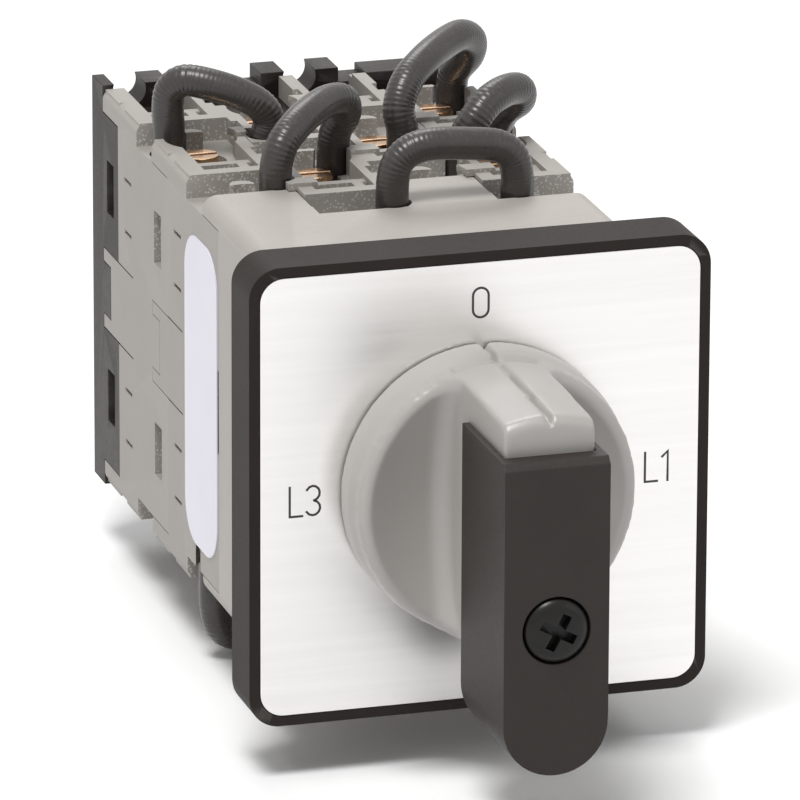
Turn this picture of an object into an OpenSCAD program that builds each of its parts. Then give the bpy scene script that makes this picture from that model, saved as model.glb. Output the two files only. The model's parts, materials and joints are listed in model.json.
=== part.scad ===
// Four-position ammeter selector switch: front plate and knob, latch housing, two contact stages, rear cover.
// X is right, Y runs into the depth and Z is up. The origin is where the shaft axis meets the plane
// of the bezel frame's rear ring, which seats on a panel.

/* [Front plate] */
// Side of the square bezel frame
bezel_side = 45; // [43:0.5:52]
// Depth of the bezel frame
bezel_depth = 6.1; // [5.6:0.1:7]
// Width of the rim around the silver plate
bezel_rim = 1.05; // [0.8:0.05:1.6]
// Outer corner radius of the bezel frame
bezel_corner = 3; // [2:0.1:5]
// Thickness of the silver plate
plate_t = 1; // [0.8:0.1:1.4]
// Corner radius of the silver plate
plate_corner = 2.3; // [1:0.1:4]
// How far the plate stands proud of the rim
plate_proud = 0.06; // [0.02:0.02:0.2]

/* [Knob] */
// Diameter of the knob's skirt
knob_d = 27.6; // [24:0.2:30]
// Height of the knob, from skirt to ridge front
knob_h = 21.2; // [19:0.2:24]
// Diameter on which the ridge ends at its front
ridge_front_d = 26.1; // [22:0.1:27]
// Width of the grip ridge
ridge_w = 8.6; // [7:0.2:10]
// Height of the skirt's upright edge
skirt_h = 2.6; // [1.5:0.1:4]
// Height of the low dome beside the ridge
dome_h = 6.4; // [5.4:0.1:7.4]
// Width of the pointer groove
groove_w = 0.7; // [0.4:0.1:1.2]

/* [Lever] */
// Width of the lever grip
lever_w = 10.1; // [9.6:0.1:12]
// Length of the lever grip
lever_len = 30.4; // [27:0.2:34]
// Height of the lever's shoulder above the shaft axis
lever_top = 9.5; // [8:0.1:10.5]
// Depth of the lever grip
lever_depth = 13.5; // [12:0.1:14]
// Wall of the lever in front of the ridge
lever_front_wall = 2.3; // [2.1:0.1:3]
// Height of the lever screw below the shaft axis
lever_screw_drop = 6.8; // [5:0.1:8]
// Head diameter of the lever screw
lever_screw_head_d = 6.3; // [5.5:0.1:6.8]

/* [Body] */
// Width of the housings
body_w = 36.2; // [36:0.1:37.4]
// Height of the flat side walls
wall_h = 34.8; // [34:0.2:36]
// Height of the front housing and its tongues
roof_h = 40.2; // [39.8:0.1:40.6]
// Height over the tabs of the contact stages
stage_h = 41.8; // [41.5:0.1:42.6]
// Length of the front housing behind the bezel ring
front_len = 20.4; // [20:0.2:22]
// Length of one contact stage
stage_len = 18.6; // [18.4:0.1:20]
// Length of the rear cover
cover_len = 10; // [9.6:0.1:12]
// Length of the front housing's tongue over the first stage
tongue_len = 5.8; // [5:0.1:6.2]
// Distance between neighbouring terminal columns
column_pitch = 8.9; // [8.8:0.05:9.2]

/* [Contacts] */
// Radius of the cam's crest
cam_r = 7; // [6.8:0.05:7.2]
// Depth of the cam's notches
notch_depth = 1.6; // [1.4:0.1:1.9]
// Thickness of a cam disc
cam_t = 5.6; // [4.6:0.2:6]
// Travel of a contact carrier
carrier_travel = 1; // [0.8:0.05:1.2]
// Side of the square shaft
shaft_side = 5.5; // [5:0.1:5.6]

/* [Wires] */
// Diameter of a jumper over its insulation
wire_d = 3.2; // [2.6:0.1:3.3]
// Diameter of a jumper's bare core
core_d = 1.3; // [1:0.1:1.4]

/* [Hidden] */
$fn = 48;
over = 0.5;
// Clearances
fit_gap = 0.1;
slide_gap = 0.2;
run_gap = 0.3;
// Planes along the depth
plate_front = -bezel_depth - plate_proud;
knob_base = plate_front - run_gap;
ridge_front = knob_base - knob_h;
lever_front = ridge_front - fit_gap - lever_front_wall;
lever_rear = lever_front + lever_depth;
plug_depth = 0.5;
stage_1_y = front_len;
stage_2_y = stage_1_y + stage_len;
cover_y = stage_2_y + stage_len;
body_end = cover_y + cover_len;
// Heights from the shaft axis
roof_z = roof_h / 2;
stage_z = stage_h / 2;
wall_z = wall_h / 2;
body_x = body_w / 2;
// Contact decks: two in a stage
end_wall = 1;
deck_depth = 8;
mid_plate_t = 1;
deck_a = end_wall + deck_depth / 2;
deck_b = stage_len - (stage_len - end_wall - deck_depth - mid_plate_t) / 2;
DECKS = [stage_1_y + deck_a, stage_1_y + deck_b, stage_2_y + deck_a, stage_2_y + deck_b];
INNER = column_pitch / 2;
OUTER = column_pitch * 1.5;
// Columns of the two terminals of each deck
COLUMNS = [[-OUTER, INNER], [-INNER, OUTER], [-OUTER, INNER], [-INNER, OUTER]];
// Notch angles of each cam, counted from the top
CAM_NOTCHES = [[0, 90, 180], [0, 180, 270], [0, 90, 180], [0, 180, 270]];
// Shaft and its bearings
journal_r = shaft_side / 2;
shaft_bore_r = shaft_side * sqrt(2) / 2 + run_gap;
hub_r = 6.5;
hub_depth = 11.5;
bush_t = 1.5;
bush_flange = 1.2;
bush_flange_t = 1;
front_wall = 4;
socket_depth = 8;
shaft_front = knob_base - socket_depth + run_gap;
ring_t = 1;
ring_w = 1.9;
cover_cavity_r = 9.6;
cover_cavity_depth = 6;
journal_wall = 0.7;
// Detent
star_r = 9;
star_t = 5;
star_y = 9;
detent_nose_r = 1.8;
star_notch_r = detent_nose_r + run_gap;
detent_seat_z = star_r + detent_nose_r / 3;
leaf_t = 0.6;
leaf_z = detent_seat_z + detent_nose_r - leaf_t;
leaf_half = 9.4;
leaf_foot = 1.4;
// Contact pieces, heights from the shaft axis
follower_z = cam_r + run_gap;
cam_room_r = cam_r + 2 * run_gap;
notch_gap = 0.6;
follower_w = 3.2;
carrier_w = 5.6;
carrier_t = 4.8;
carrier_z = 13.2;
carrier_tip_h = 1.4;
bridge_z = 9.9;
bridge_t = 0.7;
bridge_half = 7.2;
bridge_d = 2.6;
contact_gap = carrier_travel + fit_gap;
strip_t = 0.7;
tip_z = bridge_z - contact_gap - strip_t;
strip_d = 5.2;
tip_inner = 5;
leg_x = 7.9;
pad_z = 14.6;
pad_t = 0.8;
pad_reach = 3.5;
pad_inner_reach = 2.45;
spring_d = 2.6;
spring_wall = 0.3;
spring_foot_z = 11.4;
spring_top_z = 14.4;
spring_slot = spring_d + run_gap;
spring_turns = 4;
spring_steps = 8;
spring_sides = 6;
// Terminal screws
screw_core_r = 1.15;
screw_low_z = 13.6;
washer_r = 2.3;
washer_t = 0.7;
washer_z = pad_z + pad_t + core_d + fit_gap;
head_r = 1.8;
head_t = 1.4;
head_z = washer_z + washer_t;
slot_w = 0.6;
slot_depth = 0.7;
well_r = 2.6;
collar_r = 3.6;
wire_well_r = 1.9;
wire_foot_z = head_z + fit_gap;
core_z = pad_z + pad_t + core_d / 2;
// Top of the stages. A tray takes each terminal screw; trays lie in the same columns as the screws.
floor_z = 18.2;
rib_t = 1.3;
rib_z = stage_z - 0.4;
rail_t = 2.2;
rail_r = 1;
tray_wall = 1.5;
tray_front = 2.2;
tray_cut = 2.9;
deck_step = deck_b - deck_a;
tray_bar_y = 4.4;
tray_bar_t = 1;
pillar_r = 1.2;
pillar_back = 3.6;
pocket_w = 1.3;
pocket_d = 2.4;
pocket_depth = 1.6;
tab_w = 4.2;
tab_d = 1.9;
tab_ahead = 9.5;
cut_floor = 14.2;
// Side walls
window_w = 2.6;
window_h = 5.4;
window_z = 10.9;
window_y = 2.4;
window_depth = 6;
window_ahead = 0.6;
groove_y = 13.6;
groove_depth = 0.5;
hook_z = 4.1;
hook_len = 3;
hook_start = 5.5;
hook_t = 1.2;
barb_len = 2.7;
barb_h = 1.3;
corner_r = 1.5;
// Tie screws
tie_x = 12.6;
tie_r = 1.4;
tie_head_r = 2.7;
tie_head_t = 2;
nut_r = 3.1;
nut_t = 2.4;
tie_end = 2;
// Mounting holes in the ring
mount_x = 20.35;
mount_z = 14;
mount_r = 1.25;
mount_depth = 4.4;
// Rear cover's top
NOTCH_X = [-15.3, 2.3];
notch_r = 1.7;
block_w = 2.9;
block_gap = 2.6;
cover_z = 19.4;
block_z = 20.9;
// Label
label_w = 11.6;
label_h = 31.2;
label_t = 0.12;
label_corner = 4;
label_back = 6.1;
label_y = stage_1_y + label_back;
label_z = -0.2;
// Jumper routes, from the first end to the second, at the middle of the insulation. Depths are counted
// from the front of the first stage.
// The ends that run level enter a terminal from the front.
J1 = from_stage([[-2.6, 8.6, core_z], [-2.4, 4.6, core_z], [-1.6, 1, core_z], [-1.2, -1, 17.6],
      [-1.2, -1.2, 20], [-1.1, -1.2, 22.4], [-0.6, -1.2, 24.1], [0.8, -1.2, 25.2], [3, -1.2, 25.6],
      [7, -1.2, 25.3], [9.4, -1.2, 24.9], [10.8, -1.2, 23.8], [11.3, -1.2, 22], [11.3, -1.2, 20],
      [11.4, -1, 17.6], [11.6, 1, core_z], [12.1, 4.6, core_z], [12.2, 8, core_z]]);
J2 = from_stage([[-10.3, 7.5, wire_foot_z], [-10.3, 7.5, 20.4], [-10.2, 7.5, 22.2], [-9.5, 7.9, 24],
      [-8.1, 9.1, 25.1], [-6.1, 11, 25.9], [-3.6, 13.3, 26.3], [-1.5, 14.9, 25.9], [-0.9, 15.9, 24.2],
      [-1.7, 16.7, 21.9], [-1.9, 16.85, wire_foot_z]]);
J3 = from_stage([[-15.7, 26.8, wire_foot_z], [-15.7, 26.8, 20.8], [-15.8, 26.7, 23],
      [-15.6, 26.4, 24.8], [-14.5, 25.6, 25.9], [-12.4, 24.6, 25.7], [-9.6, 23.6, 24.8],
      [-7.5, 23, 23.6], [-6.6, 23, 22], [-6.9, 23.1, 20], [-6.7, 23.4, 17.8], [-6.2, 25, core_z],
      [-5.9, 28, core_z]]);
J4 = from_stage([[6.3, 20.5, wire_foot_z], [6.3, 20.5, 20.6], [6, 20.8, 22.8], [7.1, 22, 25],
      [9.6, 24.4, 26.4], [12.6, 27.4, 27.1], [15, 29.6, 27.2], [16.6, 31.4, 26.1], [16.9, 33, 24.2],
      [16, 35.2, 21.5], [15.9, 35.5, wire_foot_z]]);
J5 = from_stage([[9.7, 12.3, wire_foot_z], [9.7, 12.2, 20.4], [10, 11.5, 22.3], [10.7, 10.9, 24],
      [12.3, 11.6, 25.5], [14.6, 13.3, 26], [16.4, 14.8, 25.6], [17, 16.4, 24.1], [16.4, 19.2, 22.2],
      [15.8, 20.6, 20], [15.7, 21, 17.8], [15.5, 22.8, core_z], [15, 28, core_z]]);
J6 = from_stage([[-16.4, 7.6, -wire_foot_z], [-16.4, 7.6, -20.6], [-16.3, 7.6, -22.6],
      [-15.6, 8, -24.6], [-13.8, 9, -25.8], [-11.6, 10.2, -26], [-9.4, 11.4, -25.2],
      [-7.9, 12.2, -23.4], [-7.6, 12.2, -21], [-7.6, 12.2, -wire_foot_z]]);
JUMPERS = [J1, J2, J3, J4, J5, J6];
// Where the jumpers go down into the pieces, and the stretches that run level to a terminal
FEET = [J1[4], J1[13], J2[0], J2[10], J3[0], J3[9], J4[0], J4[10], J5[0], J5[9], J6[0], J6[9]];
LEVEL_RUNS = [[J1[0], J1[1], J1[2], J1[3], J1[4]], [J1[17], J1[16], J1[15], J1[14], J1[13]],
              [J3[12], J3[11], J3[10], J3[9]], [J5[12], J5[11], J5[10], J5[9]]];
// Terminals of each jumper's two ends: place of the column, then number of the deck
JUMPER_ENDS = [[[-INNER, 1], [OUTER, 1]], [[-OUTER, 0], [-INNER, 1]], [[-OUTER, 2], [-INNER, 3]],
               [[INNER, 2], [OUTER, 3]], [[OUTER, 1], [OUTER, 3]], [[-OUTER, 0], [-INNER, 1]]];
// Where each bare core ends, beside its screw
core_stop = screw_core_r + core_d / 2 + fit_gap;
wire_sides = 8;

// A profile drawn in X and Z, from one depth to another
module slab(y0, y1) {
    translate([0, y1, 0]) rotate([90, 0, 0]) linear_extrude(y1 - y0) children();
}

module rounded(w, h, r) {
    for (sx = [-1, 1], sz = [-1, 1])
        translate([sx * (w / 2 - r), sz * (h / 2 - r)]) circle(r);
    square([w - 2 * r, h], center = true);
    square([w, h - 2 * r], center = true);
}

module span(x0, x1, z0, z1) {
    translate([x0, z0]) square([x1 - x0, z1 - z0]);
}

module block(x0, x1, y0, y1, z0, z1) {
    translate([x0, y0, z0]) cube([x1 - x0, y1 - y0, z1 - z0]);
}

module post(x, y, z0, z1, r) {
    translate([x, y, z0]) cylinder(h = z1 - z0, r = r);
}

module rod_between(a, b, r) {
    d = b - a;
    translate(a) rotate([0, acos(d[2] / norm(d)), atan2(d[1], d[0])]) cylinder(h = norm(d), r = r);
}

// The same thing above and below the shaft axis
module above_and_below() {
    children();
    mirror([0, 0, 1]) children();
}

function from_stage(p) = [for (q = p) q + [0, stage_1_y, 0]];
function clamp_at(p, i) = p[max(0, min(len(p) - 1, i))];
function unit(v) = v / norm(v);
function heading(p, i) = unit(clamp_at(p, i + 1) - clamp_at(p, i - 1));
// A frame carried along the route without twist
function carried(n, t) = unit(n - (n * t) * t);
function frames(p, i, n) = i == len(p) ? [] :
    let (m = carried(n, heading(p, i))) concat([m], frames(p, i + 1, m));
function ring(c, n, b, r, sides) = [for (k = [0 : sides - 1])
        c + r * (cos(360 * k / sides) * n + sin(360 * k / sides) * b)];

module tube(p, r, sides) {
    n = frames(p, 0, [0.6, 0.8, 0.01]);
    points = [for (i = [0 : len(p) - 1]) each ring(p[i], n[i], cross(heading(p, i), n[i]), r, sides)];
    last = len(p) - 1;
    quads = [for (i = [0 : last - 1], k = [0 : sides - 1])
        [i * sides + k, (i + 1) * sides + k, (i + 1) * sides + (k + 1) % sides, i * sides + (k + 1) % sides]];
    triangles = [for (q = quads) each [[q[0], q[1], q[2]], [q[0], q[2], q[3]]]];
    polyhedron(points, concat(triangles,
        [[for (k = [0 : sides - 1]) k]],
        [[for (k = [0 : sides - 1]) last * sides + sides - 1 - k]]));
}

module bezel_frame() {
    color("#3c3530") difference() {
        slab(-bezel_depth, 0) rounded(bezel_side, bezel_side, bezel_corner);
        slab(-bezel_depth - over, plate_front + plate_t) plate_outline(fit_gap / 2);
        slab(-bezel_depth - over, over) circle(hub_r + bush_t + fit_gap);
        slab(-plug_depth, over) rounded(body_w + 2 * fit_gap, roof_h + 2 * fit_gap, corner_r);
        for (sx = [-1, 1], sz = [-1, 1])
            translate([sx * mount_x, 0, sz * mount_z]) slab(-mount_depth, over) circle(mount_r);
    }
}

module plate_outline(gap) {
    side = bezel_side - 2 * bezel_rim + 2 * gap;
    rounded(side, side, plate_corner);
}

module escutcheon_plate() {
    color("#e4e2e1") slab(plate_front, plate_front + plate_t) difference() {
        plate_outline(0);
        circle(hub_r + run_gap);
    }
}

// Knob: a tapering drum whose sides are scooped away down to a low dome, which leaves the ridge
module knob_drum() {
    front_r = ridge_front_d / 2;
    skirt_r = knob_d / 2;
    translate([0, knob_base, 0]) rotate([90, 0, 0]) rotate_extrude($fn = 96) polygon([
        [0, 0], [skirt_r, 0], [skirt_r, skirt_h], [skirt_r * 0.975, skirt_h * 1.7],
        [(skirt_r + front_r) / 2, knob_h / 2], [front_r, knob_h - rib_t / 2],
        [front_r - rib_t / 2, knob_h], [0, knob_h]]);
}

module knob_dome() {
    skirt_r = knob_d / 2;
    translate([0, knob_base, 0]) rotate([90, 0, 0]) rotate_extrude($fn = 96) polygon([
        [0, 0], [skirt_r, 0], [skirt_r, skirt_h], [skirt_r * 0.985, dome_h * 0.58],
        [skirt_r * 0.93, dome_h * 0.8], [skirt_r * 0.85, dome_h * 0.94], [skirt_r * 0.76, dome_h],
        [skirt_r * 0.5, dome_h * 0.93], [0, dome_h * 0.9]]);
}

// The ridge's foot flares out on the dome in a hollow curve
module ridge_section() {
    flare = ridge_w / 3;
    steps = 6;
    front = -ridge_front;
    foot = -knob_base + dome_h * 0.8;
    side = [for (k = [0 : steps]) let (a = 90 * k / steps)
        [ridge_w / 2 + flare * (1 - cos(a)), foot + flare * (1 - sin(a))]];
    polygon(concat([[0, front + over], [ridge_w / 2, front + over]], side, [[0, foot]]));
}

module knob() {
    color("#c2c2bf") difference() {
        union() {
            knob_dome();
            intersection() {
                knob_drum();
                for (s = [0, 1]) mirror([s, 0, 0])
                    translate([0, 0, -knob_d / 2]) linear_extrude(knob_d) mirror([0, 1]) ridge_section();
            }
            slab(knob_base - over, knob_base + hub_depth) circle(hub_r);
        }
        // Square socket for the shaft
        slab(knob_base - socket_depth, knob_base + hub_depth + over)
            square(shaft_side + fit_gap, center = true);
        // Pointer groove along the crown of the ridge
        groove_tilt = atan2((knob_d - ridge_front_d) / 2, knob_h);
        translate([-groove_w / 2, knob_base, knob_d / 2 - groove_w * 0.7]) rotate([groove_tilt, 0, 0])
            translate([0, -knob_h - over, 0]) cube([groove_w, knob_h + 2 * over, knob_d]);
        translate([0, 0, -lever_screw_drop]) slab(ridge_front - over, lever_rear - over)
            circle(screw_core_r + fit_gap);
    }
}

// Lever: a cap that slips over the ridge, solid beyond the knob, with a half-round end
module lever_outline() {
    low = lever_top - lever_len;
    r = lever_w / 2;
    span(-r, r, low + r, lever_top);
    translate([0, low + r]) circle(r);
}

module lever_grip() {
    pocket_z = -knob_d / 2 - slide_gap;
    color("#34302c") difference() {
        slab(lever_front, lever_rear) lever_outline();
        block(-ridge_w / 2 - fit_gap / 2, ridge_w / 2 + fit_gap / 2, ridge_front - fit_gap, lever_rear + over,
            pocket_z, lever_top + over);
        // Chamfer along the top of the front face
        translate([-lever_w, lever_front, lever_top - rib_t / 2]) rotate([-45, 0, 0])
            translate([0, -rib_t, 0]) cube([2 * lever_w, rib_t, rib_t]);
        translate([0, 0, -lever_screw_drop]) {
            slab(lever_front - over, lever_rear) circle(screw_core_r + fit_gap);
            slab(lever_front - over, lever_front + lever_front_wall / 2)
                circle(lever_screw_head_d / 2 + fit_gap);
        }
    }
}

// A cross recess with four tapering wings
module cross_recess(size, depth) {
    for (a = [0, 90]) rotate([0, 0, a])
        translate([-size / 2, -size / 8, -depth]) cube([size, size / 4, depth + over]);
}

module lever_screw() {
    r = lever_screw_head_d / 2;
    head = lever_front_wall * 0.8;
    seat = lever_front + lever_front_wall / 2;
    color("#1f1c1a") translate([0, seat, -lever_screw_drop]) rotate([90, 0, 0]) {
        difference() {
            rotate_extrude() polygon([[0, 0], [r, 0], [r, head * 0.45], [r * 0.93, head * 0.68],
                [r * 0.78, head * 0.86], [r * 0.5, head * 0.97], [0, head]]);
            translate([0, 0, head]) cross_recess(r * 1.15, head * 0.7);
        }
        translate([0, 0, -lever_front_wall * 2.2]) cylinder(h = lever_front_wall * 2.2, r = screw_core_r);
    }
}

// Front housing: box open to the rear for the detent, with a tongue above and below the first stage
module front_housing() {
    color("#a8a6a0") difference() {
        union() {
            slab(-plug_depth, front_len) rounded(body_w, roof_h, corner_r);
            above_and_below() difference() {
                slab(front_len - over, front_len + tongue_len) rounded(body_w, roof_h, corner_r);
                block(-body_w, body_w, 0, body_end, -roof_z, floor_z + fit_gap);
            }
        }
        slab(-plug_depth - over, front_len) circle(hub_r + bush_t + fit_gap / 2);
        slab(front_wall, front_len + over)
            square(2 * [leaf_half + leaf_foot + slide_gap, leaf_z + leaf_t + slide_gap], center = true);
        slab(front_wall - bush_flange_t, front_wall + over) circle(hub_r + bush_t + bush_flange + fit_gap);
        above_and_below() for (x = [-INNER, OUTER]) roof_cut(x);
        above_and_below() tongue_gaps(front_len);
        tie_holes(front_wall, front_len + over, tie_r + fit_gap);
        // Pockets for the nuts, open to the rear
        for (s = [-1, 1]) translate([s * tie_x, 0, 0]) slab(front_len - nut_t - slide_gap, front_len + over)
            rotate(30) circle(nut_r + fit_gap, $fn = 6);
        // Room for the screw heads under the tongues
        above_and_below() for (x = COLUMNS[0])
            post(x, DECKS[0], floor_z, head_z + head_t + slide_gap, well_r);
        wire_ways(0, front_len + tongue_len);
    }
}

// Cut-out of a roof, through which a jumper enters the next piece
module roof_cut(x) {
    last = x > 0 ? body_x + over : x + column_pitch / 2;
    block(x - column_pitch / 2, last, front_len - tray_cut, body_end, cut_floor, stage_z + over);
}

// Narrow gaps beside the tongues that lie over the next piece, and seats for its tabs
module tongue_gaps(y) {
    for (x = [-column_pitch, 0, column_pitch]) {
        block(x - fit_gap, x + fit_gap, y - over, y + 2 * tongue_len, floor_z - over, stage_z + over);
        if (x != 0) block(x - tab_w / 2 - fit_gap, x + tab_w / 2 + fit_gap,
            y + deck_b - tab_ahead - fit_gap, y + 2 * tongue_len, roof_z, stage_z + over);
    }
}

module tie_holes(y0, y1, r) {
    for (s = [-1, 1]) translate([s * tie_x, 0, 0]) slab(y0, y1) circle(r);
}

module front_bush() {
    color("#d8d4c4") difference() {
        union() {
            slab(-plug_depth, front_wall) circle(hub_r + bush_t);
            slab(front_wall - bush_flange_t, front_wall) circle(hub_r + bush_t + bush_flange);
        }
        slab(-plug_depth - over, front_wall + over) circle(hub_r + fit_gap);
    }
}

module shaft() {
    color("#b8b8b4") {
        slab(shaft_front, cover_y + cover_cavity_depth - 2 * ring_t) square(shaft_side, center = true);
        slab(cover_y + cover_cavity_depth - 2 * ring_t, body_end - 2 * over) circle(journal_r);
    }
}

module shaft_ring() {
    y = cover_y + cover_cavity_depth - 2 * ring_t;
    color("#8d8f92") slab(y, y + ring_t) difference() {
        circle(journal_r + ring_w);
        circle(journal_r + fit_gap / 10);
    }
}

module shaft_hole() {
    square(shaft_side + fit_gap / 2, center = true);
}

module star_wheel() {
    color("#5b5a58") slab(star_y, star_y + star_t) difference() {
        circle(star_r);
        for (a = [0 : 90 : 270]) rotate(a) translate([0, detent_seat_z]) circle(star_notch_r);
        shaft_hole();
    }
}

// Two leaves, above and below the star wheel, each with a nose in a notch
module detent_springs() {
    color("#b9bcc0") above_and_below() slab(star_y, star_y + star_t) {
        difference() {
            union() {
                span(-leaf_half, leaf_half, leaf_z, leaf_z + leaf_t);
                translate([0, detent_seat_z]) circle(detent_nose_r);
                for (s = [0, 1]) mirror([s, 0])
                    span(leaf_half - over, leaf_half + leaf_foot, leaf_z - leaf_foot, leaf_z + leaf_t);
            }
            translate([0, detent_seat_z]) circle(detent_nose_r - leaf_t);
            span(-detent_nose_r + leaf_t, detent_nose_r - leaf_t,
                detent_seat_z, detent_seat_z + 2 * detent_nose_r);
        }
    }
}

// Ways for the jumpers within a piece: a shaft down each foot, and a run along each level stretch
module wire_ways(y0, y1) {
    for (p = FEET) if (p[1] + wire_well_r > y0 && p[1] - wire_well_r < y1)
        mirror([0, 0, p[2] < 0 ? 1 : 0]) post(p[0], p[1], core_z - core_d / 2, stage_z + over, wire_well_r);
    r = wire_d / 2 + slide_gap;
    bend = wire_well_r + wire_d / 4;
    for (run = LEVEL_RUNS) {
        xs = [for (p = run) p[0]];
        ys = [for (p = run) p[1]];
        block(min(xs) - r, max(xs) + r, min(ys), max(ys) + slide_gap, core_z - r, core_z + r);
        block(min(xs) - r, max(xs) + r, min(ys), min(ys) + bend, core_z, stage_z + over);
    }
}

// Wells of the terminal screws of the decks that lie within a piece
module screw_wells(y0, y1) {
    for (d = [0 : len(DECKS) - 1], x = COLUMNS[d])
        if (DECKS[d] > y0 && DECKS[d] - collar_r < y1) above_and_below() {
            post(x, DECKS[d], screw_low_z - run_gap, pad_z + over, screw_core_r + fit_gap);
            post(x, DECKS[d], pad_z - fit_gap, stage_z + over, well_r);
            post(x, DECKS[d], floor_z, stage_z + over, collar_r);
        }
    // Slots for the bare cores
    for (k = [0 : len(JUMPERS) - 1], e = [0, 1]) {
        route = JUMPERS[k];
        start = e == 0 ? route[0] : route[len(route) - 1];
        screw = [JUMPER_ENDS[k][e][0], DECKS[JUMPER_ENDS[k][e][1]]];
        if (screw[1] > y0 && screw[1] < y1)
            mirror([0, 0, start[2] < 0 ? 1 : 0]) translate([screw[0], screw[1], core_z - core_d / 2])
                rotate(atan2(start[1] - screw[1], start[0] - screw[0]))
                    translate([0, -core_d / 2 - slide_gap, 0])
                        cube([norm([start[0], start[1]] - screw),
                            core_d + 2 * slide_gap, core_d + slide_gap]);
    }
}

// Room for cam, carriers and bridges, g wider all round
module deck_room(y0, y1, g) {
    guide_x = carrier_w / 2 + slide_gap + g;
    guide_z = carrier_z + slide_gap + g;
    side_x = leg_x + strip_t + fit_gap + g;
    slab(y0, y1) circle(cam_room_r + g);
    block(-guide_x, guide_x, y0, y1, -guide_z, guide_z);
    above_and_below()
        block(-side_x, side_x, y0, y1, tip_z - fit_gap - g, bridge_z + bridge_t + run_gap + g);
}

// Slots for the terminal strips and springs, open to the rear of the stage
module strip_slots(y0, y1) {
    above_and_below() {
        block(-spring_slot / 2, spring_slot / 2, y0, y1, carrier_z, spring_top_z);
        for (t = [0, 1]) mirror([t, 0, 0]) {
            block(leg_x - fit_gap, leg_x + strip_t + fit_gap, y0, y1, bridge_z, pad_z + pad_t);
            block(INNER - pad_inner_reach - fit_gap, OUTER + pad_reach + fit_gap, y0, y1,
                pad_z - fit_gap, pad_z + pad_t + fit_gap);
        }
    }
}

// A terminal tray: walls on three sides, open to the rear, with a bar across and pockets in its walls
module tray(x, y0, y1) {
    half = column_pitch / 2;
    bottom = floor_z - over;
    left = x - half;
    right = x + half;
    difference() {
        union() {
            block(left, left + tray_wall, y0, y1, bottom, rib_z);
            block(right - tray_wall, right, y0, y1, bottom, rib_z);
            block(left, right, y0, y0 + tray_wall, bottom, rib_z);
            block(left, right, y0 + tray_bar_y, y0 + tray_bar_y + tray_bar_t, bottom, rib_z - over);
            block(x + half / 3, x + half / 3 + tray_bar_t, y0, y0 + tray_bar_y, bottom, rib_z - over);
        }
        for (px = [left, right])
            block(px - pocket_w / 2, px + pocket_w / 2, y0 + tray_bar_y + tray_bar_t,
                y0 + tray_bar_y + tray_bar_t + pocket_d, rib_z - pocket_depth, stage_z + over);
    }
}

// Rounded rail along the outer side of an outer column
module rail(side, y0, y1) {
    mirror([side < 0 ? 1 : 0, 0, 0]) slab(y0, y1) {
        span(body_x - rail_t, body_x, floor_z - over, rib_z - rail_r);
        span(body_x - rail_t, body_x - rail_r, floor_z - over, rib_z);
        translate([body_x - rail_r, rib_z - rail_r]) circle(rail_r);
    }
}

module stage_top(y) {
    last = y + stage_len;
    tip = last + tongue_len;
    front = y + tray_front;
    rear = front + deck_step;
    difference() {
        union() {
            for (x = [-INNER, OUTER]) tray(x, front, last - tray_cut);
            for (x = [-OUTER, INNER]) tray(x, rear, tip);
            rail(1, front, last - tray_cut);
            rail(-1, rear, tip);
        }
        // Nothing reaches past the side walls, or down into the next piece
        for (s = [0, 1]) mirror([s, 0, 0])
            block(body_x, body_w, 0, body_end + stage_len, 0, stage_z + over);
        block(-body_w, body_w, last, tip + over, 0, floor_z + fit_gap);
        tongue_gaps(last);
    }
    // Tabs at the front corners of the trays
    for (x = [-column_pitch, 0, column_pitch]) {
        tab_y = y + deck_b - tab_ahead + (x == 0 ? deck_step : 0);
        block(x - tab_w / 2, x + tab_w / 2, tab_y, tab_y + tab_d, roof_z + fit_gap, stage_z);
    }
    // Half-round pillars behind the screws
    for (x = COLUMNS[0]) post(x, y + deck_a + pillar_back, floor_z - over, roof_z, pillar_r);
    for (x = COLUMNS[1]) intersection() {
        post(x, y + deck_b + pillar_back, floor_z - over, roof_z, pillar_r);
        block(-body_w, body_w, y, last, 0, stage_z);
    }
}

// Flexible hooks of a side wall that reach into the next piece, g larger all round
module side_hooks(y, g) {
    for (sx = [0, 1]) mirror([sx, 0, 0]) {
        block(body_x - hook_t - g, body_x + g, y - over, y + hook_len + g, -hook_z - g, hook_z + g);
        for (sz = [0, 1]) mirror([0, 0, sz])
            block(body_x - hook_t - g, body_x + g, y + hook_len - over, y + hook_len + barb_len + g,
                hook_z - barb_h - g, hook_z + g);
    }
}

module hook_seams(y) {
    for (sx = [0, 1], sz = [0, 1]) mirror([sx, 0, 0]) mirror([0, 0, sz])
        block(body_x - groove_depth, body_x + over, y - hook_start, y + over, hook_z, hook_z + slide_gap);
}

module wall_windows(y) {
    for (sx = [0, 1], sz = [0, 1]) mirror([sx, 0, 0]) mirror([0, 0, sz])
        block(body_x - window_depth, body_x + over, y + window_y, y + window_y + window_w,
            window_z - window_h / 2, window_z + window_h / 2);
}

// Shallow frame cut around a blank field of the side wall
module wall_marks(y) {
    for (sx = [0, 1], sz = [0, 1]) mirror([sx, 0, 0]) mirror([0, 0, sz]) for (e = [-1, 1])
        block(body_x - groove_depth, body_x + over, y + groove_y, y + groove_y + window_w,
            window_z + e * window_h / 2 - slide_gap, window_z + e * window_h / 2 + slide_gap);
}

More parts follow.
